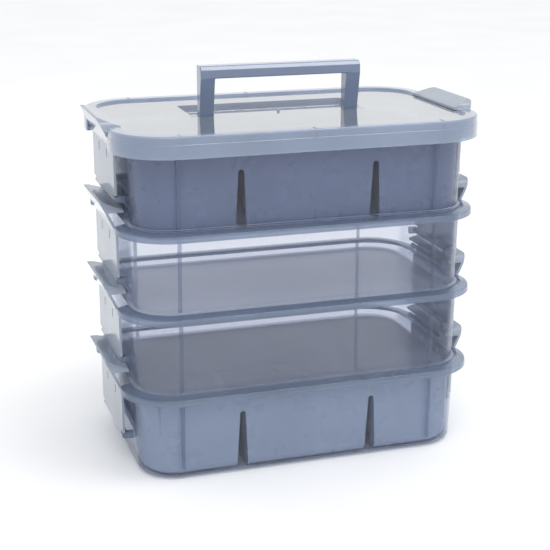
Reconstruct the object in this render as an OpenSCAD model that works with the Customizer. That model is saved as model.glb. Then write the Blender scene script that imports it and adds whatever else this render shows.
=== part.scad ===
// Stack-and-carry sorting tray: four clear trays, two divided inserts, a lid with a
// folding carry handle, and two latches for each joint of the stack.
// Millimetres, +Z up, X along the long side, the front faces -Y.
// The origin is on the ground, in the middle of the bottom tray.

/* [Tray] */
// Outside length of a tray wall at its rim
tray_l = 350; // [300:1:440]
// Outside width of a tray wall at its rim
tray_w = 215; // [180:1:280]
// Height of a tray, from its base to the top of its rim
tray_h = 92.5; // [76:0.5:120]
// Corner radius of a tray wall at its rim
corner_r = 42; // [34:1:52]
// Thickness of the tray walls
tray_wall = 2; // [1.6:0.1:2.6]
// Thickness of the tray floor
tray_floor = 2.5; // [2:0.1:4]
// Rounding between the floor and the walls of a tray
base_round = 7; // [4:0.5:8]
// Width of the moulded rib where each straight wall meets its corner
rib_w = 4; // [2:0.5:6]
// How far that rib stands out of the wall
rib_proud = 0.6; // [0.4:0.1:1]

/* [Rim and stacking] */
// How far the rim stands out beyond the wall
rim_out = 12.5; // [11:0.5:15]
// Height of the rim's turned-down edge
rim_h = 8; // [5:0.5:10]
// Thickness of the rim
rim_t = 2; // [1.6:0.1:2.6]
// How deep a tray stands inside the rim of the tray below
nest = 9.5; // [7:0.5:12]
// Gap between a tray's base and the rim that it stands in
stack_gap = 1; // [0.7:0.1:1.4]
// Height of the bead that carries a tray on the rim below
bead_h = 2; // [1.5:0.1:3]
// Height of the ledge that a latch catches on
ledge_h = 4; // [3:0.5:5]

/* [Insert] */
// Room between an insert and the tray or lid above it
insert_room = 2.5; // [1:0.5:8]
// Gap between an insert and the tray wall around it
insert_gap = 2.5; // [1.5:0.1:4]
// Thickness of the insert's walls and floor
insert_wall = 1.8; // [1.4:0.1:2.4]
// Distance of each divider from the middle of the insert
divider_x = 69.5; // [45:0.5:90]
// How far the hollow dividers lie below the insert's edge
divider_drop = 15; // [8:0.5:30]
// Width of a divider's groove at its foot
groove_foot = 12; // [8:0.5:18]
// Width of a divider's groove at its top
groove_top = 6; // [4:0.5:8]

/* [Lid] */
// Depth of the lid's skirt below the top of the tray rim
skirt_drop = 10; // [8:0.5:14]
// Height of the lid's rim above the top of the tray rim
lid_rise = 12; // [10:0.5:16]
// Gap between the lid's skirt and the tray rim inside it
skirt_gap = 0.5; // [0.3:0.1:1]
// Thickness of the lid
lid_t = 2; // [1.6:0.1:2.6]
// Width of the raised band around the lid
band_w = 13; // [9:0.5:16]
// How far the lid's panel lies below that band
panel_drop = 2.5; // [1.5:0.1:4]

/* [Handle] */
// Outside length of the handle
handle_l = 170.6; // [140:0.2:200]
// Height of the handle above its pivots
handle_rise = 54; // [42:0.5:58]
// Width of each leg
leg_w = 15; // [11:0.5:18]
// Thickness of each leg at its pivot
leg_t = 9; // [7.5:0.5:9.5]
// Depth of the hand bar
bar_t = 17; // [13:0.5:20]
// Height of the hand bar
bar_h = 12.5; // [9:0.5:16]
// Width of the bevel along the bar's upper front edge
bar_bevel = 4; // [2:0.5:6]
// Position of the pivots behind the middle of the lid
pivot_y = -2; // [-20:0.5:5]
// Depth of the well that the folded handle lies in
well_depth = 8; // [7:0.5:9]
// Room for the fingers behind the folded handle
finger_room = 12; // [8:0.5:16]
// Radius of the handle's pivots
pivot_r = 2.5; // [2:0.1:2.8]

/* [Latch] */
// Width of a latch
latch_w = 108; // [90:1:120]
// Thickness of a latch
latch_t = 2.4; // [2:0.1:3]
// Distance from the tray wall to the outside of the latch plate
latch_out = 9; // [8:0.25:10]
// Height of the latch's hinge above the base of its tray
hinge_z = 32; // [28:0.5:36]
// Radius of the latch's hinge pin
hinge_r = 1.8; // [1.5:0.1:2]
// How far the grip flares out beyond the plate
flare_out = 13.5; // [10:0.5:15]
// Height of the grip's tip above the rim
tip_rise = 19.5; // [17:0.5:22]
// Rounding of the grip's corners
grip_round = 14; // [6:1:18]
// Height of the claw above the rim
claw_rise = 10; // [8.5:0.5:11]
// Gap between the claw's edge and what it reaches for
claw_gap = 0.4; // [0.3:0.1:0.6]

/* [Hidden] */

fit = 0.06;                    // running clearance of a pin in its bore, on the radius
side_gap = 0.3;                // clearance along a hinge line
loose = 1.3;                   // room between a latch and the opening around it
corner_fn = 64;                // facets of the rounded corners inside a hull
small = 0.01;                  // thickness of the slices that a hull joins

draft = tray_wall + stack_gap; // how far a wall leans in from its rim to its base
wall_top = tray_h - rim_t;     // height where the wall meets the rim
pitch = tray_h - nest;         // distance from one tray to the next
rim_z = 3 * pitch + tray_h;    // top of the highest tray rim
insert_h = pitch - tray_floor - insert_room;   // height of a divided insert
divider_h = insert_h - divider_drop;           // height of its dividers
notch_w = latch_w + 2 * loose; // opening for a latch in the lid
rim_cut = notch_w + 2 * lid_t + 2 * skirt_gap; // opening for a latch in a tray rim
lid_l = tray_l + 2 * (rim_out + skirt_gap + lid_t);
lid_w = tray_w + 2 * (rim_out + skirt_gap + lid_t);
lid_r = corner_r + rim_out + skirt_gap + lid_t;
panel_z = rim_z + lid_rise - panel_drop;   // top of the lid's panel
well_z = panel_z - well_depth;             // floor of the handle's well
pivot_z = well_z + leg_t / 2 + side_gap;   // axis of the handle
hinge_x = tray_l / 2 + latch_out - hinge_r - 1.7; // axis of a latch
barrel_r = latch_out + tray_l / 2 - hinge_x;
barrel_l = latch_w - 20;
lug_w = 6;

function tray_z(level) = level * pitch;

// A rectangle with round corners, centred on the origin
module round_rect(l, w, r) {
    square([l - 2 * r, w], center = true);
    square([l, w - 2 * r], center = true);
    for (x = [-1, 1], y = [-1, 1])
        translate([x * (l / 2 - r), y * (w / 2 - r)]) circle(r);
}

// A thin slice of a tapered wall: the rim outline moved in by inset
module slice(z, inset) {
    translate([0, 0, z])
        linear_extrude(small)
            round_rect(tray_l - 2 * inset, tray_w - 2 * inset, corner_r - inset, $fn = corner_fn);
}

// A leaning, round-bottomed body between two heights, inset from the tray's outer surface
module tapered(z0, z1, inset, round_r) {
    function lean(z) = draft * (1 - z / wall_top) + inset;
    hull() {
        slice(z0, lean(z0) + round_r);
        for (a = [30, 60])
            slice(z0 + round_r * (1 - cos(a)), lean(z0) + round_r * (1 - sin(a)));
        slice(z0 + round_r, lean(z0 + round_r));
        slice(z1 - small, lean(z1));
    }
}

// A flat ring between two round rectangles that share their centre
module ring(z0, z1, outset, width) {
    translate([0, 0, z0])
        linear_extrude(z1 - z0)
            difference() {
                round_rect(tray_l + 2 * outset, tray_w + 2 * outset, corner_r + outset);
                round_rect(tray_l + 2 * (outset - width), tray_w + 2 * (outset - width),
                           corner_r + outset - width);
            }
}

// Boxes at both ends of the stack, from a distance x outwards
module end_boxes(x, width, z0, z1, reach = 40) {
    for (side = [-1, 1])
        translate([side * (x + reach / 2), 0, (z0 + z1) / 2])
            cube([reach, width, z1 - z0], center = true);
}

// A rod along Y
module rod(r, l) {
    rotate([90, 0, 0]) cylinder(r = r, h = l, center = true, $fn = 48);
}

// ---- Trays -------------------------------------------------------------------------

// Bearings for the two latches of a tray
module latch_lugs() {
    lug_r = barrel_r;
    lug_y = barrel_l / 2 + side_gap + lug_w / 2;
    wall_x = tray_l / 2 - draft;
    for (side = [-1, 1], y = [-1, 1])
        translate([side * hinge_x, y * lug_y, hinge_z]) {
            rod(lug_r, lug_w);
            translate([side * (wall_x - hinge_x) / 2, 0, 0])
                cube([hinge_x - wall_x, lug_w, 2 * lug_r], center = true);
        }
}

// What a tray needs above another: the bead that rests on the rim, and a ledge for each claw
module seat_on_tray_below() {
    ledge_top = nest + claw_rise - side_gap;
    difference() {
        ring(nest, nest + bead_h, stack_gap, draft + stack_gap + tray_wall / 2);
        end_boxes(tray_l / 2, rim_cut, 0, tray_h);
    }
    intersection() {
        ring(ledge_top - ledge_h, ledge_top, 0, draft + tray_wall / 2);
        end_boxes(tray_l / 2 - 2 * draft, latch_w - 2 * grip_round, 0, tray_h);
    }
}

module tray(level) {
    color([0.74, 0.77, 0.82, 0.6])
        translate([0, 0, tray_z(level)])
            difference() {
                union() {
                    tapered(0, wall_top + small, 0, base_round);
                    intersection() {
                        tapered(0, wall_top, -rib_proud, base_round);
                        for (x = [-1, 1])
                            translate([x * (tray_l / 2 - corner_r), 0, nest + bead_h + tray_h / 2])
                                cube([rib_w, 2 * tray_w, tray_h], center = true);
                    }
                    difference() {
                        union() {
                            ring(wall_top, tray_h, rim_out, rim_out + tray_wall);
                            ring(tray_h - rim_h, tray_h, rim_out, rim_t);
                        }
                        end_boxes(tray_l / 2, rim_cut, 0, tray_h + 1);
                    }
                    if (level > 0) seat_on_tray_below();
                    latch_lugs();
                }
                tapered(tray_floor, tray_h + 1, tray_wall, base_round - tray_wall / 2);
                for (side = [-1, 1])
                    translate([side * hinge_x, 0, hinge_z])
                        rod(hinge_r + fit, barrel_l + 2 * lug_w + 4 * side_gap);
            }
}

module tray_bottom() { tray(0); }
module tray_lower() { tray(1); }
module tray_upper() { tray(2); }
module tray_top() { tray(3); }

// ---- Inserts -----------------------------------------------------------------------

// The section of a divider: wide at its foot, narrow and round at its top
module divider_section(foot, top, h) {
    r = top / 2;
    polygon([[-foot / 2, 0], [foot / 2, 0], [r, h - r], [-r, h - r]]);
    translate([0, h - r]) circle(r, $fn = 32);
}

module dividers(foot, top, h, l) {
    for (x = [-1, 1])
        translate([x * divider_x, l / 2, 0])
            rotate([90, 0, 0]) linear_extrude(l) divider_section(foot, top, h);
}

module insert(level, tint) {
    outside = tray_wall + insert_gap;
    inside = outside + insert_wall;
    foot_z = tray_floor;
    color(tint)
        translate([0, 0, tray_z(level)])
            difference() {
                tapered(foot_z, foot_z + insert_h, outside, base_round + 1);
                difference() {
                    tapered(foot_z + insert_wall, foot_z + insert_h + 1, inside, base_round);
                    translate([0, 0, foot_z])
                        dividers(groove_foot + 2 * insert_wall, groove_top + 2 * insert_wall,
                                 divider_h + insert_wall, 2 * tray_w);
                }
                translate([0, 0, foot_z - small])
                    dividers(groove_foot, groove_top, divider_h, 2 * tray_w);
            }
}

module insert_bottom() { insert(0, [0.51, 0.55, 0.65]); }
module insert_top() { insert(3, [0.39, 0.43, 0.55]); }

// ---- Lid ---------------------------------------------------------------------------

well_l = handle_l + 2 * 7;                     // length of the handle's well
well_y0 = pivot_y + leg_t / 2 + 1.5;           // front of the well
well_y1 = pivot_y + handle_rise + finger_room; // back of the well
pocket_w = leg_w + 2 * 0.7;                    // pocket around the foot of a leg

// The outline of the well and of the two pockets in front of it
module well_outline(grow = 0) {
    translate([-well_l / 2 - grow, well_y0 - grow])
        square([well_l + 2 * grow, well_y1 - well_y0 + 2 * grow]);
    for (x = [-1, 1])
        translate([x * (handle_l - leg_w) / 2, (pivot_y - leg_t / 2 - 1.5 + well_y0) / 2])
            square([pocket_w + 2 * grow, leg_t + 3 + 2 * grow + small], center = true);
}

module lid() {
    lug_l = (well_l - handle_l) / 2 - 0.7 + lid_t;
    color([0.80, 0.83, 0.88, 0.6])
        difference() {
            union() {
                translate([0, 0, panel_z - lid_t])
                    linear_extrude(lid_t) round_rect(lid_l, lid_w, lid_r);
                ring(rim_z - skirt_drop, rim_z + lid_rise, (lid_l - tray_l) / 2, lid_t);
                ring(panel_z - small, rim_z + lid_rise, (lid_l - tray_l) / 2, band_w);
                ring(rim_z, panel_z, 0, tray_wall + 1);
                for (y = [-1, 1])
                    translate([0, y * (notch_w + lid_t) / 2, (rim_z - skirt_drop + panel_z) / 2])
                        intersection() {
                            cube([lid_l - lid_t, lid_t, skirt_drop + panel_z - rim_z], center = true);
                            end_boxes(tray_l / 2 + skirt_gap, 2 * lid_t, -40, 40);
                        }
                translate([0, 0, well_z - lid_t])
                    linear_extrude(well_depth + lid_t) well_outline(lid_t);
                for (x = [-1, 1])
                    translate([x * (well_l / 2 + lid_t - lug_l / 2), pivot_y, panel_z - (leg_t + 2) / 2])
                        cube([lug_l, leg_t + 2, leg_t + 2], center = true);
                translate([0, pivot_y, panel_z - small]) cylinder(r = 1.5, h = panel_drop, $fn = 32);
            }
            translate([0, 0, well_z])
                linear_extrude(well_depth + 1) well_outline();
            end_boxes(tray_l / 2, notch_w, rim_z - skirt_drop - 1, rim_z + lid_rise + 1);
            for (x = [-1, 1])
                translate([x * (handle_l / 2 + 3), pivot_y, pivot_z])
                    rotate([0, 90, 0]) cylinder(r = pivot_r + fit, h = 7, center = true, $fn = 48);
        }
}

// ---- Handle ------------------------------------------------------------------------

module handle() {
    back = leg_t / 2;
    color([0.40, 0.46, 0.57])
        translate([0, pivot_y, pivot_z]) {
            intersection() {
                rotate([90, 0, 0])
                    linear_extrude(4 * bar_t, center = true)
                        difference() {
                            translate([-handle_l / 2, -leg_t]) square([handle_l, handle_rise + leg_t]);
                            translate([leg_w - handle_l / 2, -2 * leg_t])
                                square([handle_l - 2 * leg_w, handle_rise - bar_h + 2 * leg_t]);
                        }
                rotate([90, 0, 90])
                    linear_extrude(2 * handle_l, center = true)
                        union() {
                            circle(back, $fn = 48);
                            polygon([[-back, 0], [back, 0], [back, handle_rise],
                                     [back - bar_t + bar_bevel, handle_rise],
                                     [back - bar_t, handle_rise - bar_bevel],
                                     [back - bar_t, handle_rise - bar_h]]);
                        }
            }
            for (x = [-1, 1])
                translate([x * (handle_l / 2 + 2.5), 0, 0])
                    rotate([0, 90, 0]) cylinder(r = pivot_r, h = 6, center = true, $fn = 48);
        }
}

// ---- Latches -----------------------------------------------------------------------

// The section of a latch: plate, flared grip and claw
module latch_section() {
    face = tray_l / 2 + latch_out;
    flare_z = tray_h - 10;
    tip_z = tray_h + tip_rise;
    slope = (tip_z - flare_z) / flare_out;
    claw_x = tray_l / 2 + claw_gap;
    claw_z = tray_h + claw_rise;
    claw_end = face + (claw_z + latch_t - flare_z) / slope - latch_t / 2;
    polygon([[face - latch_t, hinge_z], [face, hinge_z], [face, flare_z],
             [face + flare_out, tip_z - 1], [face + flare_out - 1, tip_z],
             [face + flare_out - latch_t, tip_z], [face - latch_t, flare_z + 1]]);
    polygon([[claw_x, claw_z], [claw_end, claw_z], [face + flare_out - latch_t, tip_z - 1],
             [face + flare_out - latch_t, tip_z], [claw_x, claw_z + latch_t]]);
}

// The outline of a latch, seen from its end of the stack: narrow at the hinge, wide above
module latch_outline() {
    tip_z = tray_h + tip_rise;
    shoulder = hinge_z + barrel_r + side_gap + 1;
    translate([-barrel_l / 2, hinge_z - barrel_r]) square([barrel_l, tip_z / 2]);
    translate([-latch_w / 2, shoulder]) square([latch_w, tip_z - shoulder - grip_round]);
    translate([grip_round - latch_w / 2, shoulder])
        square([latch_w - 2 * grip_round, tip_z - shoulder]);
    for (y = [-1, 1])
        translate([y * (latch_w / 2 - grip_round), tip_z - grip_round]) circle(grip_round);
}

module latch(level, side) {
    slot_y = 20;
    color([0.66, 0.70, 0.77])
        translate([0, 0, tray_z(level)])
            mirror([side < 0 ? 1 : 0, 0, 0])
                difference() {
                    union() {
                        intersection() {
                            rotate([90, 0, 0]) linear_extrude(latch_w, center = true) latch_section();
                            translate([tray_l / 2 - 1, 0, 0])
                                rotate([90, 0, 90]) linear_extrude(40) latch_outline();
                        }
                        translate([hinge_x, 0, hinge_z]) {
                            rod(barrel_r, barrel_l);
                            rod(hinge_r, barrel_l + 2 * lug_w);
                        }
                    }
                    for (y = [-slot_y, slot_y])
                        translate([tray_l / 2 + latch_out, y, tray_h - 19])
                            cube([3 * latch_t, 3, 9], center = true);
                }
}

module latch_bottom_left() { latch(0, -1); }
module latch_lower_left() { latch(1, -1); }
module latch_upper_left() { latch(2, -1); }
module latch_top_left() { latch(3, -1); }
module latch_bottom_right() { latch(0, 1); }
module latch_lower_right() { latch(1, 1); }
module latch_upper_right() { latch(2, 1); }
module latch_top_right() { latch(3, 1); }

tray_bottom();
tray_lower();
tray_upper();
tray_top();
insert_bottom();
insert_top();
lid();
handle();
latch_bottom_left();
latch_lower_left();
latch_upper_left();
latch_top_left();
latch_bottom_right();
latch_lower_right();
latch_upper_right();
latch_top_right();
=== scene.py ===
"""The looks of the stack-and-carry sorting tray.

Metres, in the CAD frame: +Z up, X along the long side, the front faces -Y.
The trays and the lid are new meshes with round edges. The inserts, handle and latches keep
their CAD shapes and get round edges from modifiers.
"""

import math

import bmesh
import bpy
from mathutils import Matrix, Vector
from mathutils.geometry import tessellate_polygon


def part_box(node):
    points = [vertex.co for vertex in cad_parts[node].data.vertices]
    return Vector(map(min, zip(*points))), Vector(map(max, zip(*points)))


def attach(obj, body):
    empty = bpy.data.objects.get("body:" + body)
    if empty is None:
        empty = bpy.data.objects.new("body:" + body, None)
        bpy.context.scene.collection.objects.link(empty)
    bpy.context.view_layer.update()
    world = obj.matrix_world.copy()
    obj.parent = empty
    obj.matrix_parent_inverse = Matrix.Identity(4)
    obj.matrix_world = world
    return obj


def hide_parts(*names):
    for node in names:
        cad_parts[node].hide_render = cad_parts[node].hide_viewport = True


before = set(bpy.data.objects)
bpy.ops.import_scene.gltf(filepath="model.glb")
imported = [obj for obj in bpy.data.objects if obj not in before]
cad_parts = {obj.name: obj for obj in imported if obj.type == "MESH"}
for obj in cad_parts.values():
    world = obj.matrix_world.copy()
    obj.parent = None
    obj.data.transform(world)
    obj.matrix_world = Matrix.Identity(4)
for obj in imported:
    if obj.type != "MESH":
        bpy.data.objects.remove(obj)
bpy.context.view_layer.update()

MM = 0.001

# ---- Sizes, from the frame where it shows them --------------------------------------

LEVELS = ("bottom", "lower", "upper", "top")
tray_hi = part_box("tray_bottom")[1]
lid_lo, lid_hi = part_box("lid")
handle_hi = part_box("handle")[1]

RIM_OUT = 12.5 * MM                      # how far a rim stands out from its wall
HALF_L = tray_hi.x - RIM_OUT             # middle to the outside of an end wall, at its rim
HALF_W = tray_hi.y - RIM_OUT             # middle to the outside of a long wall, at its rim
CORNER_R = 42 * MM
TRAY_H = tray_hi.z
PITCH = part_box("tray_lower")[0].z        # from one tray to the next
WALL = 2 * MM
FLOOR = 2.5 * MM
DRAFT = 3 * MM                           # how far a wall leans in from its rim to its base
BASE_ROUND = 7 * MM
FLOOR_EDGE = 20 * MM                     # strip of the floor that is made with the walls
RIM_H = 8 * MM
RIM_T = 2 * MM
RIM_CUT = 57.8 * MM                      # half the opening for a latch in a tray rim
RIM_NOSE = 5 * MM                        # rounding of the rim's ends at that opening
NEST = TRAY_H - PITCH
BEAD = 2 * MM
LEDGE_TOP = 19.2 * MM                    # ledge for the claws, above the base of its tray
LEDGE_H = 4 * MM
LEDGE_HALF = 40 * MM
RIB_W = 4 * MM
RIB_PROUD = 0.6 * MM
LUG_Z = 32 * MM                          # hinge of a latch, above the base of its tray
LUG_X = HALF_L + 5.5 * MM                # hinge of a latch, from the middle
LUG_R = 3.5 * MM
LUG_Y = (44.3 * MM, 50.3 * MM)           # near and far face of a bearing

LID_OUT = lid_hi.x - HALF_L              # how far the lid's skirt stands out from the walls
LID_T = 2 * MM
LID_CUT = 55.3 * MM                      # half the opening for a latch in the lid
SKIRT_NOSE = 1.5 * MM                    # rounding of the skirt's ends at that opening
BAND_W = 13 * MM
PANEL_Z = lid_hi.z - 2.5 * MM            # top of the lid's panel
SEAT_Z = 3 * PITCH + TRAY_H              # top of the highest tray rim
SEAT_T = 3 * MM                          # thickness of the ring that the lid rests on
WELL_DEPTH = 8 * MM
PIVOT_Y = -2 * MM
LEG_W = 15 * MM
LEG_T = 9 * MM
PIVOT_STUB = 5.5 * MM                    # how far a pivot stands out of its leg
HANDLE_HALF = handle_hi.x - PIVOT_STUB   # middle to the outside of a leg
PIVOT_Z = PANEL_Z - WELL_DEPTH + LEG_T / 2 + 0.3 * MM
LEG_ROOM = 1.5 * MM                      # room in front of a leg and behind it
FINGER_ROOM = 12 * MM                    # room behind the folded handle
WELL_HALF = HANDLE_HALF + 7 * MM
WELL_FRONT = PIVOT_Y + LEG_T / 2 + LEG_ROOM
WELL_BACK = PIVOT_Y + handle_hi.z - PIVOT_Z + FINGER_ROOM
PIVOT_BLOCK = (8.3 * MM, 11 * MM)        # length and height of the block around a pivot

CORNER_STEPS = 16                        # facets of a wall's corner
CHAMFER = 0.35 * MM                      # at the ends of small blocks


# ---- Mesh building -------------------------------------------------------------------

def turned(centre, radius, start, sweep_angle, steps):
    """Points of an arc, from angle start, in degrees."""
    angles = [math.radians(start + sweep_angle * k / steps) for k in range(steps + 1)]
    return [(centre[0] + radius * math.cos(a), centre[1] + radius * math.sin(a)) for a in angles]


def rounded(corners, steps=4, closed=True):
    """A line through corners given as (across, up, radius), with each corner turned on its radius."""
    line = []
    for i, (across, up, radius) in enumerate(corners):
        end = not closed and i in (0, len(corners) - 1)
        if radius == 0 or end:
            line.append((across, up))
            continue
        here = Vector((across, up))
        before = (Vector(corners[i - 1][:2]) - here).normalized()
        after = (Vector(corners[(i + 1) % len(corners)][:2]) - here).normalized()
        half = before.angle(after) / 2
        centre = here + (before + after).normalized() * (radius / math.sin(half))
        first = here + before * (radius / math.tan(half)) - centre
        last = here + after * (radius / math.tan(half)) - centre
        start = math.atan2(first.y, first.x)
        turn = (math.atan2(last.y, last.x) - start + math.pi) % (2 * math.pi) - math.pi
        line += turned(centre, radius, math.degrees(start), math.degrees(turn), steps)
    return line


def corner_stations(sign_x, sign_y):
    """Places round one corner of the wall outline, anticlockwise.

    A place is (x, y, normal x, normal y, squeeze), where squeeze scales what stands out."""
    start = {(1, 1): 0, (-1, 1): 90, (-1, -1): 180, (1, -1): 270}[sign_x, sign_y]
    centre = (sign_x * (HALF_L - CORNER_R), sign_y * (HALF_W - CORNER_R))
    stations = []
    for x, y in turned(centre, CORNER_R, start, 90, CORNER_STEPS):
        stations.append((x, y, (x - centre[0]) / CORNER_R, (y - centre[1]) / CORNER_R, 1.0))
    return stations


def whole_outline():
    """All the way round the wall outline."""
    corners = ((1, 1), (-1, 1), (-1, -1), (1, -1))
    return [place for corner in corners for place in corner_stations(*corner)]


def half_outline(side, cut, nose, reach):
    """Places round the front (side -1) or the back (1), between the latch openings, with round ends."""
    def end(at_x, from_end):
        places = []
        for angle in (0, 22, 45, 67, 90):
            turn = math.radians(angle)
            y = side * (cut + nose * (1 - math.cos(turn)))
            squeeze = 1 - nose * (1 - math.sin(turn)) / reach
            places.append((at_x * HALF_L, y, at_x, 0.0, squeeze))
        return places if from_end else places[::-1]

    first = side  # anticlockwise: the back starts at the right, the front at the left
    stations = end(first, True)
    for sign_x in (first, -first):
        stations += corner_stations(sign_x, side)
    return stations + end(-first, False)


def sweep(bm, profile, stations, closed_path=True, closed_profile=True, base=0.0, material=0):
    """A skin of a profile of (outset, height) along the stations. Open ends are filled."""
    rings = []
    for x, y, nx, ny, squeeze in stations:
        ring = []
        for outset, height in profile:
            out = outset * squeeze if outset > 0 else outset
            ring.append(bm.verts.new((x + nx * out, y + ny * out, base + height)))
        rings.append(ring)
    faces = []
    across = len(profile) if closed_profile else len(profile) - 1
    along = len(rings) if closed_path else len(rings) - 1
    for i in range(along):
        a, b = rings[i], rings[(i + 1) % len(rings)]
        for j in range(across):
            k = (j + 1) % len(profile)
            faces.append(bm.faces.new((a[j], b[j], b[k], a[k])))
    if closed_profile and not closed_path:
        faces += [bm.faces.new(rings[0][::-1]), bm.faces.new(rings[-1])]
    if not closed_profile:
        faces += [bm.faces.new([r[0] for r in rings][::-1]), bm.faces.new([r[-1] for r in rings])]
    for face in faces:
        face.material_index = material
    return faces


def offset_loop(loop, distance):
    """A closed anticlockwise line moved outwards by a distance."""
    moved = []
    for i, point in enumerate(loop):
        here = Vector(point)
        before = (here - Vector(loop[i - 1])).normalized()
        after = (Vector(loop[(i + 1) % len(loop)]) - here).normalized()
        normal = Vector((before.y + after.y, -before.x - after.x))
        share = max(0.35, 0.5 * normal.length)
        moved.append(here + normal.normalized() * distance / share)
    return moved


def prism(bm, loop, lo, hi, place, material=0):
    """A solid with an anticlockwise outline and small chamfers at both ends.

    place turns (u, v, w) into x, y, z, where the outline is in u and v."""
    small = offset_loop(loop, -CHAMFER)
    rings = []
    for line, w in ((small, lo), (loop, lo + CHAMFER), (loop, hi - CHAMFER), (small, hi)):
        rings.append([bm.verts.new(place(u, v, w)) for u, v in line])
    faces = [bm.faces.new(rings[0][::-1]), bm.faces.new(rings[-1])]
    for a, b in zip(rings, rings[1:]):
        for j in range(len(a)):
            k = (j + 1) % len(a)
            faces.append(bm.faces.new((a[j], a[k], b[k], b[j])))
    for face in faces:
        face.material_index = material


def block(bm, lo, hi, radius=0.5 * MM, material=0):
    """A box with round upright edges and chamfered ends."""
    corners = [(x, y, radius) for x, y in
               ((lo[0], lo[1]), (hi[0], lo[1]), (hi[0], hi[1]), (lo[0], hi[1]))]
    prism(bm, rounded(corners, 3), lo[2], hi[2], lambda u, v, w: (u, v, w), material=material)


def finished(name, bm, materials, body, node):
    """Makes the piece that replaces a CAD node, with smooth shading that keeps its corners."""
    bmesh.ops.recalc_face_normals(bm, faces=bm.faces)
    mesh = bpy.data.meshes.new(name)
    bm.to_mesh(mesh)
    bm.free()
    for material in materials:
        mesh.materials.append(material)
    mesh.shade_smooth()
    mesh.set_sharp_from_angle(angle=math.radians(50))
    piece = bpy.data.objects.new(name, mesh)
    bpy.context.scene.collection.objects.link(piece)
    flatten = piece.modifiers.new("flat faces", "WEIGHTED_NORMAL")
    flatten.keep_sharp = True
    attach(piece, body)
    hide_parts(node)


# ---- Materials -----------------------------------------------------------------------

def linear(red, green, blue):
    """A colour given in 0 to 255, as the linear values that the shaders take."""
    def one(value):
        share = value / 255
        return share / 12.92 if share <= 0.04045 else ((share + 0.055) / 1.055) ** 2.4
    return (one(red), one(green), one(blue), 1.0)


class Shader:
    """A material's node tree, with a short way to add nodes and links."""

    def __init__(self, name):
        self.material = bpy.data.materials.new(name)
        self.material.use_nodes = True
        self.tree = self.material.node_tree
        self.tree.nodes.clear()
        self.place = self.add("ShaderNodeTexCoord").outputs["Object"]

    def add(self, kind, inputs=None, **settings):
        node = self.tree.nodes.new(kind)
        for key, value in settings.items():
            setattr(node, key, value)
        for key, value in (inputs or {}).items():
            if isinstance(value, bpy.types.NodeSocket):
                self.tree.links.new(value, node.inputs[key])
            else:
                node.inputs[key].default_value = value
        return node

    def noise(self, scale, detail=3.0, stretch=(1, 1, 1)):
        """A noise between 0 and 1, over the piece's own coordinates."""
        moved = self.add("ShaderNodeMapping", {"Vector": self.place, "Scale": stretch})
        return self.add(
            "ShaderNodeTexNoise", {"Vector": moved.outputs[0], "Scale": scale, "Detail": detail}
        ).outputs["Fac"]

    def between(self, value, low, high, start=0.35, stop=0.65):
        """A number that goes from low to high as value goes from start to stop."""
        return self.add("ShaderNodeMapRange", {
            "Value": value, "From Min": start, "From Max": stop, "To Min": low, "To Max": high,
        }).outputs["Result"]

    def blend(self, share, first, second):
        mixed = self.add("ShaderNodeMix", data_type="RGBA")
        for socket, value in ((0, share), (6, first), (7, second)):
            if isinstance(value, bpy.types.NodeSocket):
                self.tree.links.new(value, mixed.inputs[socket])
            else:
                mixed.inputs[socket].default_value = value
        return mixed.outputs[2]

    def bump(self, height, strength, distance, normal=None):
        inputs = {"Height": height, "Strength": strength, "Distance": distance}
        if normal is not None:
            inputs["Normal"] = normal
        return self.add("ShaderNodeBump", inputs).outputs["Normal"]

    def scratches(self):
        """Fine rubbed lines that run along the length and across it."""
        along = self.between(self.noise(60, 2, (1, 22, 22)), 0, 1, 0.60, 0.74)
        across = self.between(self.noise(60, 2, (22, 1.5, 22)), 0, 1, 0.62, 0.76)
        return self.add("ShaderNodeMath", {0: along, 1: across}, operation="MAXIMUM").outputs[0]

    def finish(self, surface):
        self.add("ShaderNodeOutputMaterial", {"Surface": surface})
        return self.material


def scaled(colour, share):
    return tuple(channel * share for channel in colour[:3]) + (1.0,)


def moulded(name, colour, roughness, coat, hollow=1.0):
    """Opaque injection-moulded plastic: cloudy colour, fine grain, rubbed lines and a clear gloss.

    Hollows and grooves get painted shade: an occlusion test darkens their colour towards hollow times the
    tone and paints out their gloss and coat, as less light gets back out of them."""
    s = Shader(name)
    cloud = s.noise(14, 4)
    tone = s.blend(s.between(cloud, 0, 1), scaled(colour, 0.96), scaled(colour, 1.04))
    shine, clear_coat = 0.5, coat
    # Painted shade: where the occlusion test finds the surface closed in, the colour falls towards hollow
    # times the tone, and the gloss and coat fall to nothing.
    if hollow < 1:
        depth = s.add("ShaderNodeAmbientOcclusion", {"Distance": 14 * MM},
                      samples=8, only_local=True).outputs["AO"]
        tone = s.blend(s.between(depth, 0, 1, 0.45, 0.75), scaled(colour, hollow), tone)
        shine = s.between(depth, 0, shine, 0.45, 0.75)
        clear_coat = s.between(depth, 0, coat, 0.45, 0.75)
    rubbed = s.scratches()
    tone = s.blend(s.between(rubbed, 0, 0.25, 0, 1), tone, scaled(colour, 1.5))
    grain = s.noise(1500, 2)
    normal = s.bump(grain, 0.05, 0.2 * MM)
    normal = s.bump(s.noise(18, 2), 0.05, 1.2 * MM, normal)
    rough = s.between(s.noise(45, 3), roughness * 0.8, roughness * 1.3)
    surface = s.add("ShaderNodeBsdfPrincipled", {
        "Base Color": tone, "Roughness": rough, "Normal": normal,
        "IOR": 1.5, "Specular IOR Level": shine, "Coat Weight": clear_coat, "Coat Roughness": 0.12,
    })
    return s.finish(surface.outputs[0])


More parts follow.
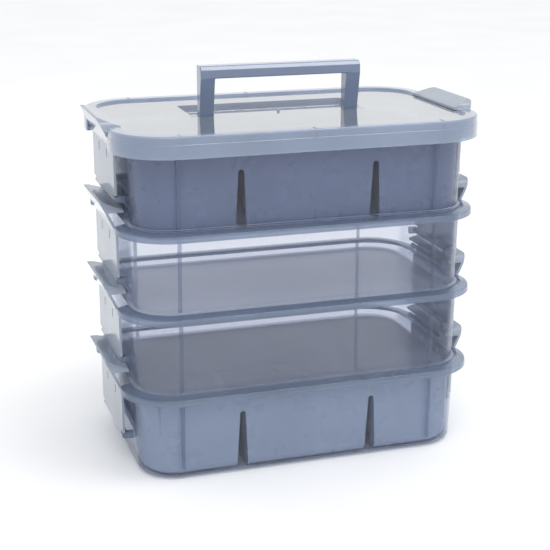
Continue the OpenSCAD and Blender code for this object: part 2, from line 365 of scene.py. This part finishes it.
def clear(name, face_tint, edge_tint, milk, milk_share, graze=0.0, gloss=0.04, spread=5.0):
    """Clear plastic as a thin wall: tinted see-through, a little milkiness and a glossy skin.

    The tint deepens where the wall is seen along its face, as more plastic lies in the way.
    Level faces are moulded matt, so their milkiness rises there by graze.
    gloss is how much a face mirrors straight on, and a lower spread makes more of it mirror."""
    s = Shader(name)
    flow = s.bump(s.noise(11, 2), 0.20, 2.5 * MM)
    normal = s.bump(s.noise(420, 2), 0.05, 0.2 * MM, flow)
    rubbed = s.scratches()
    facing = s.add("ShaderNodeLayerWeight", {"Blend": 0.5, "Normal": normal}).outputs["Facing"]
    tint = s.blend(s.between(facing, 0, 1, 0.35, 0.98), face_tint, edge_tint)
    see_through = s.add("ShaderNodeBsdfTransparent", {"Color": tint})
    cloud = s.blend(s.between(s.noise(9, 4), 0, 1), scaled(milk, 0.95), scaled(milk, 1.05))
    body = s.add("ShaderNodeBsdfPrincipled", {
        "Base Color": cloud, "Roughness": 0.35, "Normal": normal, "Specular IOR Level": 0.2,
    })
    haze = s.add("ShaderNodeMath", {0: s.between(s.noise(7, 3), 0.9, 1.1), 1: milk_share},
                 operation="MULTIPLY").outputs[0]
    depth = s.add("ShaderNodeMath", {0: facing, 1: 4.0}, operation="POWER").outputs[0]
    upright = s.add("ShaderNodeSeparateXYZ", {0: s.add("ShaderNodeNewGeometry").outputs["Normal"]})
    level = s.add("ShaderNodeMath", {0: upright.outputs["Z"]}, operation="ABSOLUTE").outputs[0]
    matt = s.add("ShaderNodeMath", {0: level, 1: graze}, operation="MULTIPLY").outputs[0]
    haze = s.add("ShaderNodeMath", {0: depth, 1: matt, 2: haze}, operation="MULTIPLY_ADD").outputs[0]
    haze = s.add("ShaderNodeMath", {0: s.between(rubbed, 0, 0.02, 0, 1), 1: haze},
                 operation="ADD", use_clamp=True).outputs[0]
    inner = s.add("ShaderNodeMixShader", {0: haze, 1: see_through.outputs[0], 2: body.outputs[0]})
    rough = s.between(s.noise(30, 3), 0.03, 0.09)
    skin = s.add("ShaderNodeBsdfGlossy", {"Color": (1, 1, 1, 1), "Roughness": rough, "Normal": normal})
    rise = s.add("ShaderNodeMath", {0: facing, 1: spread}, operation="POWER").outputs[0]
    mirror = s.add("ShaderNodeMath", {0: rise, 1: 1 - gloss, 2: gloss}, operation="MULTIPLY_ADD",
                   use_clamp=True).outputs[0]
    surface = s.add("ShaderNodeMixShader", {0: mirror, 1: inner.outputs[0], 2: skin.outputs[0]})
    return s.finish(surface.outputs[0])


wall_plastic = clear("clear_wall", linear(245, 246, 249), linear(218, 224, 234),
                     linear(190, 196, 209), 0.025, graze=1.9, gloss=0.012, spread=6.0)
rim_plastic = clear("clear_rim", linear(206, 212, 223), linear(150, 161, 180),
                    linear(142, 156, 178), 0.35, gloss=0.03)
skirt_plastic = clear("clear_skirt", linear(212, 219, 230), linear(158, 170, 191),
                      linear(178, 192, 214), 0.38, gloss=0.04, spread=3.5)
rib_plastic = clear("clear_rib", linear(196, 204, 218), linear(150, 161, 180),
                    linear(140, 152, 174), 0.16, gloss=0.03)
panel_plastic = clear("clear_panel", linear(214, 219, 226), linear(176, 184, 198),
                      linear(196, 202, 210), 0.25, gloss=0.07, spread=3.0)
well_plastic = clear("clear_well", linear(214, 219, 228), linear(176, 184, 200),
                     linear(196, 203, 216), 0.50, gloss=0.05, spread=3.0)
latch_clear = clear("clear_latch", linear(208, 215, 224), linear(152, 163, 181),
                    linear(172, 181, 194), 0.60, gloss=0.04, spread=6.0)
# hollow sets how dark the painted shade in each insert's hollows and grooves is.
slate_plastic = moulded("insert_slate", linear(99, 112, 140), 0.30, 0.15, hollow=0.35)
blue_plastic = moulded("insert_blue", linear(145, 158, 177), 0.30, 0.15, hollow=0.95)
handle_plastic = moulded("handle_blue", linear(105, 120, 147), 0.20, 1.0)


# ---- Trays ---------------------------------------------------------------------------

def wall_inset(height):
    """Outset of the leaning wall at a height above the tray's base, negative inwards."""
    return -DRAFT * (1 - height / (TRAY_H - RIM_T))


def tray_wall_profile(carries_bead):
    """From the floor's underside up the outside of the wall, over its top and down the inside."""
    floor_reach = wall_inset(0) - FLOOR_EDGE
    corners = [(floor_reach, 0, 0), (wall_inset(0), 0, BASE_ROUND)]
    if carries_bead:
        bead_top = NEST + BEAD
        corners += [
            (wall_inset(NEST), NEST, 0.3 * MM), (0.2 * MM, NEST, 0.6 * MM),
            (0.2 * MM, bead_top, 0.6 * MM), (wall_inset(bead_top), bead_top, 0.3 * MM),
        ]
    corners += [
        (0, TRAY_H, 0.5 * MM), (-WALL, TRAY_H, 0.5 * MM),
        (wall_inset(FLOOR) - WALL, FLOOR, BASE_ROUND - WALL / 2), (floor_reach, FLOOR, 0),
    ]
    return rounded(corners, 5, closed=False)


def rim_profile():
    """The turned-down rim: a gently falling top, a round nose and a hollow underside."""
    foot = TRAY_H - RIM_H
    return rounded([
        (-0.4 * MM, TRAY_H - 0.1 * MM, 0), (4 * MM, TRAY_H - 0.3 * MM, 6 * MM),
        (RIM_OUT - 0.5 * MM, TRAY_H - 1.7 * MM, 1.9 * MM), (RIM_OUT, foot, 0.8 * MM),
        (RIM_OUT - 2 * MM, foot, 0.6 * MM), (RIM_OUT - 2.5 * MM, TRAY_H - 4.2 * MM, 1.2 * MM),
        (-0.4 * MM, TRAY_H - 2.6 * MM, 0),
    ], 5)


def add_ribs(bm, base):
    """A flat rib up the wall at each end of its long straights."""
    z0, z1 = NEST + BEAD, TRAY_H - 2.4 * MM
    for x in (-1, 1):
        for side in (-1, 1):
            section = ((-0.5, 0), (-0.38, 0.75), (-0.25, 1), (0.25, 1), (0.38, 0.75), (0.5, 0))
            rings = []
            for z in (z0, z1):
                face = HALF_W + wall_inset(z) - 0.1 * MM
                rings.append([
                    bm.verts.new((x * (HALF_L - CORNER_R) + u * RIB_W,
                                  side * (face + v * (RIB_PROUD + 0.1 * MM)), base + z))
                    for u, v in section
                ])
            for j in range(len(section) - 1):
                face = bm.faces.new((rings[0][j], rings[0][j + 1], rings[1][j + 1], rings[1][j]))
                face.material_index = 2
            bm.faces.new(rings[0]).material_index = 2
            bm.faces.new(rings[1][::-1]).material_index = 2


def add_lugs(bm, base):
    """The bearings of the tray's two latches."""
    root = HALF_L + wall_inset(LUG_Z) - 0.3 * MM
    nose = turned((LUG_X, LUG_Z), LUG_R, -90, 180, 12)
    section = [(root, LUG_Z - LUG_R)] + nose + [(root, LUG_Z + LUG_R)]
    for side in (-1, 1):
        for end in (-1, 1):
            lo, hi = sorted((end * LUG_Y[0], end * LUG_Y[1]))
            prism(bm, section, lo, hi, lambda u, v, w: (side * u, w, base + v), material=1)


def add_ledges(bm, base):
    """The ledges that the claws of the tray below reach over."""
    for side in (-1, 1):
        xs = sorted((side * (HALF_L - DRAFT), side * HALF_L))
        block(bm, (xs[0], -LEDGE_HALF, base + LEDGE_TOP - LEDGE_H),
              (xs[1], LEDGE_HALF, base + LEDGE_TOP), material=1)


def tray(level, name):
    bm = bmesh.new()
    base = level * PITCH
    sweep(bm, tray_wall_profile(level > 0), whole_outline(), closed_profile=False, base=base)
    for side in (-1, 1):
        path = half_outline(side, RIM_CUT, RIM_NOSE, RIM_OUT)
        sweep(bm, rim_profile(), path, closed_path=False, base=base, material=1)
    add_ribs(bm, base)
    add_lugs(bm, base)
    if level > 0:
        add_ledges(bm, base)
    node = "tray_" + name
    body = "base" if level == 0 else node
    finished("clear_" + node, bm, [wall_plastic, rim_plastic, rib_plastic], body, node)


for level, level_name in enumerate(LEVELS):
    tray(level, level_name)


# ---- Lid -----------------------------------------------------------------------------

def skirt_profile():
    """Skirt, raised band and the panel's edge: a step half way down and round edges."""
    low, high = lid_lo.z, lid_hi.z
    step_z = (low + high) / 2 + 2.5 * MM
    upper = LID_OUT - 0.5 * MM
    inner = LID_OUT - BAND_W
    return rounded([
        (LID_OUT, low, 0.6 * MM), (LID_OUT, step_z, 0.4 * MM), (upper, step_z + 0.5 * MM, 0.3 * MM),
        (upper, high, 2.2 * MM), (inner, high, 0.7 * MM), (inner, PANEL_Z, 0.3 * MM),
        (inner - 0.5 * MM, PANEL_Z - 0.1 * MM, 0), (inner - 0.5 * MM, PANEL_Z - LID_T + 0.1 * MM, 0),
        (inner, PANEL_Z - LID_T, 0.2 * MM), (inner + 0.5 * MM, high - LID_T, 0.8 * MM),
        (LID_OUT - LID_T, high - LID_T, 1.2 * MM), (LID_OUT - LID_T, low, 0.6 * MM),
    ], 4)


def well_outline():
    """The handle's well with a pocket in front of it for each leg, anticlockwise."""
    pocket = LEG_W / 2 + 0.7 * MM
    leg_x = HANDLE_HALF - LEG_W / 2
    front = PIVOT_Y - LEG_T / 2 - LEG_ROOM
    turn = 1.2 * MM
    return rounded([
        (-WELL_HALF, WELL_FRONT, turn), (-leg_x - pocket, WELL_FRONT, turn * 0.5),
        (-leg_x - pocket, front, turn), (-leg_x + pocket, front, turn),
        (-leg_x + pocket, WELL_FRONT, turn), (leg_x - pocket, WELL_FRONT, turn),
        (leg_x - pocket, front, turn), (leg_x + pocket, front, turn),
        (leg_x + pocket, WELL_FRONT, turn * 0.5), (WELL_HALF, WELL_FRONT, turn),
        (WELL_HALF, WELL_BACK, 3 * MM), (-WELL_HALF, WELL_BACK, 3 * MM),
    ], 4)


def fill_between(bm, outer, hole, height, material):
    """A flat face with a hole."""
    lines = [[Vector((x, y, height)) for x, y in line] for line in (outer, hole)]
    corners = [bm.verts.new(point) for line in lines for point in line]
    for triangle in tessellate_polygon(lines):
        bm.faces.new([corners[i] for i in triangle]).material_index = material


def skin(bm, lines, material):
    """A skin through closed lines of (points, height), and a fill of the last one."""
    rings = [[bm.verts.new((x, y, height)) for x, y in line] for line, height in lines]
    faces = []
    for a, b in zip(rings, rings[1:]):
        for j in range(len(a)):
            k = (j + 1) % len(a)
            faces.append(bm.faces.new((a[j], b[j], b[k], a[k])))
    faces.append(bm.faces.new(rings[-1]))
    for face in faces:
        face.material_index = material


def panel_outline():
    """The edge of the lid's panel: under the band, and up to the latch openings at the ends."""
    inner = LID_OUT - BAND_W
    line = []
    for sign_x, sign_y in ((1, 1), (-1, 1), (-1, -1), (1, -1)):
        places = corner_stations(sign_x, sign_y)
        corner = [(x + nx * inner, y + ny * inner) for x, y, nx, ny, _ in places]
        notch = [(sign_x * HALF_L, sign_y * LID_CUT), (sign_x * (HALF_L + inner), sign_y * LID_CUT)]
        line += notch + corner if sign_x == sign_y else corner + notch[::-1]
    return line


def add_skirt(bm):
    """The skirt with its raised band, the walls beside the latches, and the ring that rests on the rim."""
    for side in (-1, 1):
        path = half_outline(side, LID_CUT, SKIRT_NOSE, LID_OUT)
        sweep(bm, skirt_profile(), path, closed_path=False, material=1)
    under = PANEL_Z - LID_T
    seat = rounded([
        (0, SEAT_Z, 0.4 * MM), (0, under, 0), (-SEAT_T, under, 0), (-SEAT_T, SEAT_Z, 0.4 * MM),
    ], 3)
    sweep(bm, seat, whole_outline(), material=0)
    for side in (-1, 1):
        for end in (-1, 1):
            xs = sorted((side * (HALF_L + 0.5 * MM), side * (HALF_L + LID_OUT - 1.5 * MM)))
            ys = sorted((end * LID_CUT, end * (LID_CUT + LID_T)))
            block(bm, (xs[0], ys[0], lid_lo.z), (xs[1], ys[1], PANEL_Z), material=1)


def add_panel(bm):
    """The lid's panel with the handle's well sunk into it."""
    well = well_outline()
    outer_well = offset_loop(well, LID_T)
    edge = panel_outline()
    fill_between(bm, edge, well, PANEL_Z, 0)
    fill_between(bm, edge, outer_well, PANEL_Z - LID_T, 0)
    floor_z = PANEL_Z - WELL_DEPTH
    skin(bm, [
        (well, PANEL_Z), (well, floor_z + 0.8 * MM),
        (offset_loop(well, -0.3 * MM), floor_z + 0.2 * MM), (offset_loop(well, -0.8 * MM), floor_z),
    ], 2)
    skin(bm, [
        (outer_well, PANEL_Z - LID_T), (outer_well, floor_z - LID_T + 0.6 * MM),
        (offset_loop(outer_well, -0.6 * MM), floor_z - LID_T),
    ], 2)


def add_trim(bm):
    """The blocks around the pivots, the mark of the mould's gate, and fine ridges across the band."""
    length, height = PIVOT_BLOCK
    half = (LEG_T + 2 * MM) / 2
    for side in (-1, 1):
        xs = sorted((side * (WELL_HALF + LID_T - length), side * (WELL_HALF + LID_T)))
        block(bm, (xs[0], PIVOT_Y - half, PANEL_Z - height),
              (xs[1], PIVOT_Y + half, PANEL_Z + 0.2 * MM), radius=1.2 * MM, material=1)
    gate = turned((0, PIVOT_Y), 1.5 * MM, 0, 345, 23)
    prism(bm, gate, PANEL_Z - 0.5 * MM, PANEL_Z + 2.2 * MM, lambda u, v, w: (u, v, w), material=1)
    down_skirt = (0.6 * MM, 0.15 * MM, lid_lo.z + MM, lid_hi.z - 2 * MM)
    over_band = (BAND_W - MM, 2.5 * MM, lid_hi.z - MM, lid_hi.z + 0.3 * MM)
    half = 0.7 * MM
    for side in (-1, 1):
        face = side * (HALF_W + LID_OUT)
        for x in (-1, 0, 1):
            middle = x * (HALF_L - CORNER_R)
            for near, far, low, high in (down_skirt, over_band):
                ys = sorted((face - side * near, face - side * far))
                block(bm, (middle - half, ys[0], low), (middle + half, ys[1], high),
                      radius=0.1 * MM, material=1)


def lid():
    bm = bmesh.new()
    add_skirt(bm)
    add_panel(bm)
    bmesh.ops.remove_doubles(bm, verts=bm.verts, dist=0.02 * MM)
    add_trim(bm)
    finished("clear_lid", bm, [panel_plastic, skirt_plastic, well_plastic], "lid", "lid")


lid()


# ---- CAD nodes that keep their shape --------------------------------------------------

def round_edges(node, width, material):
    """Welds a CAD node's faces, rounds its edges and gives it a material."""
    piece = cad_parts[node]
    weld = piece.modifiers.new("weld", "WELD")
    weld.merge_threshold = 0.002 * MM
    planes = piece.modifiers.new("planes", "DECIMATE")
    planes.decimate_type = "DISSOLVE"
    planes.angle_limit = math.radians(0.5)
    bevel = piece.modifiers.new("edges", "BEVEL")
    bevel.width = width
    bevel.segments = 3
    bevel.limit_method = "ANGLE"
    bevel.angle_limit = math.radians(35)
    bevel.use_clamp_overlap = True
    flatten = piece.modifiers.new("flat faces", "WEIGHTED_NORMAL")
    flatten.keep_sharp = True
    piece.data.materials.clear()
    piece.data.materials.append(material)


round_edges("insert_top", 0.5 * MM, slate_plastic)
round_edges("insert_bottom", 0.5 * MM, blue_plastic)
round_edges("handle", 1.0 * MM, handle_plastic)
for level_name in LEVELS:
    for side_name in ("left", "right"):
        round_edges(f"latch_{level_name}_{side_name}", 0.5 * MM, latch_clear)


# ---- Stage, light and camera -----------------------------------------------------------

def floor():
    """A plain pale floor with a faint mottle."""
    bm = bmesh.new()
    bmesh.ops.create_grid(bm, x_segments=8, y_segments=8, size=20)
    mesh = bpy.data.meshes.new("floor")
    bm.to_mesh(mesh)
    bm.free()
    s = Shader("floor_paper")
    tone = s.blend(s.between(s.noise(3, 3), 0, 1), (0.93, 0.93, 0.935, 1), (0.96, 0.96, 0.965, 1))
    surface = s.add("ShaderNodeBsdfPrincipled", {"Base Color": tone, "Roughness": 0.8})
    mesh.materials.append(s.finish(surface.outputs[0]))
    plane = bpy.data.objects.new("floor", mesh)
    bpy.context.scene.collection.objects.link(plane)


def area_light(name, place, target, size, watts):
    light = bpy.data.lights.new(name, "AREA")
    light.shape = "DISK"
    light.size = size
    light.energy = watts
    lamp = bpy.data.objects.new(name, light)
    lamp.location = place
    lamp.rotation_euler = (Vector(target) - Vector(place)).to_track_quat("-Z", "Y").to_euler()
    bpy.context.scene.collection.objects.link(lamp)


def studio():
    world = bpy.data.worlds.new("studio")
    world.use_nodes = True
    background = world.node_tree.nodes["Background"]
    background.inputs["Color"].default_value = (0.98, 0.99, 1.0, 1.0)
    background.inputs["Strength"].default_value = 1.0
    bpy.context.scene.world = world
    middle = (0, 0, 0.2)
    area_light("key", (-0.5, -2.0, 2.6), middle, 1.6, 14)
    area_light("fill", (2.2, -1.2, 1.4), middle, 2.0, 1.5)
    area_light("top", (0.7, -0.6, 2.6), middle, 1.2, 16)


def camera():
    """The photograph's view: a little left of the front and a little above the lid."""
    data = bpy.data.cameras.new("camera")
    data.lens = 86.35
    data.sensor_width = 36
    view = bpy.data.objects.new("camera", data)
    view.location = (-0.4170, -1.2920, 0.5788)
    view.rotation_euler = [math.radians(a) for a in (90 - 16.61, 0, -17.77)]
    bpy.context.scene.collection.objects.link(view)
    bpy.context.scene.camera = view


floor()
studio()
camera()
bpy.context.scene.view_settings.view_transform = "Standard"
bpy.context.scene.cycles.transparent_max_bounces = 48
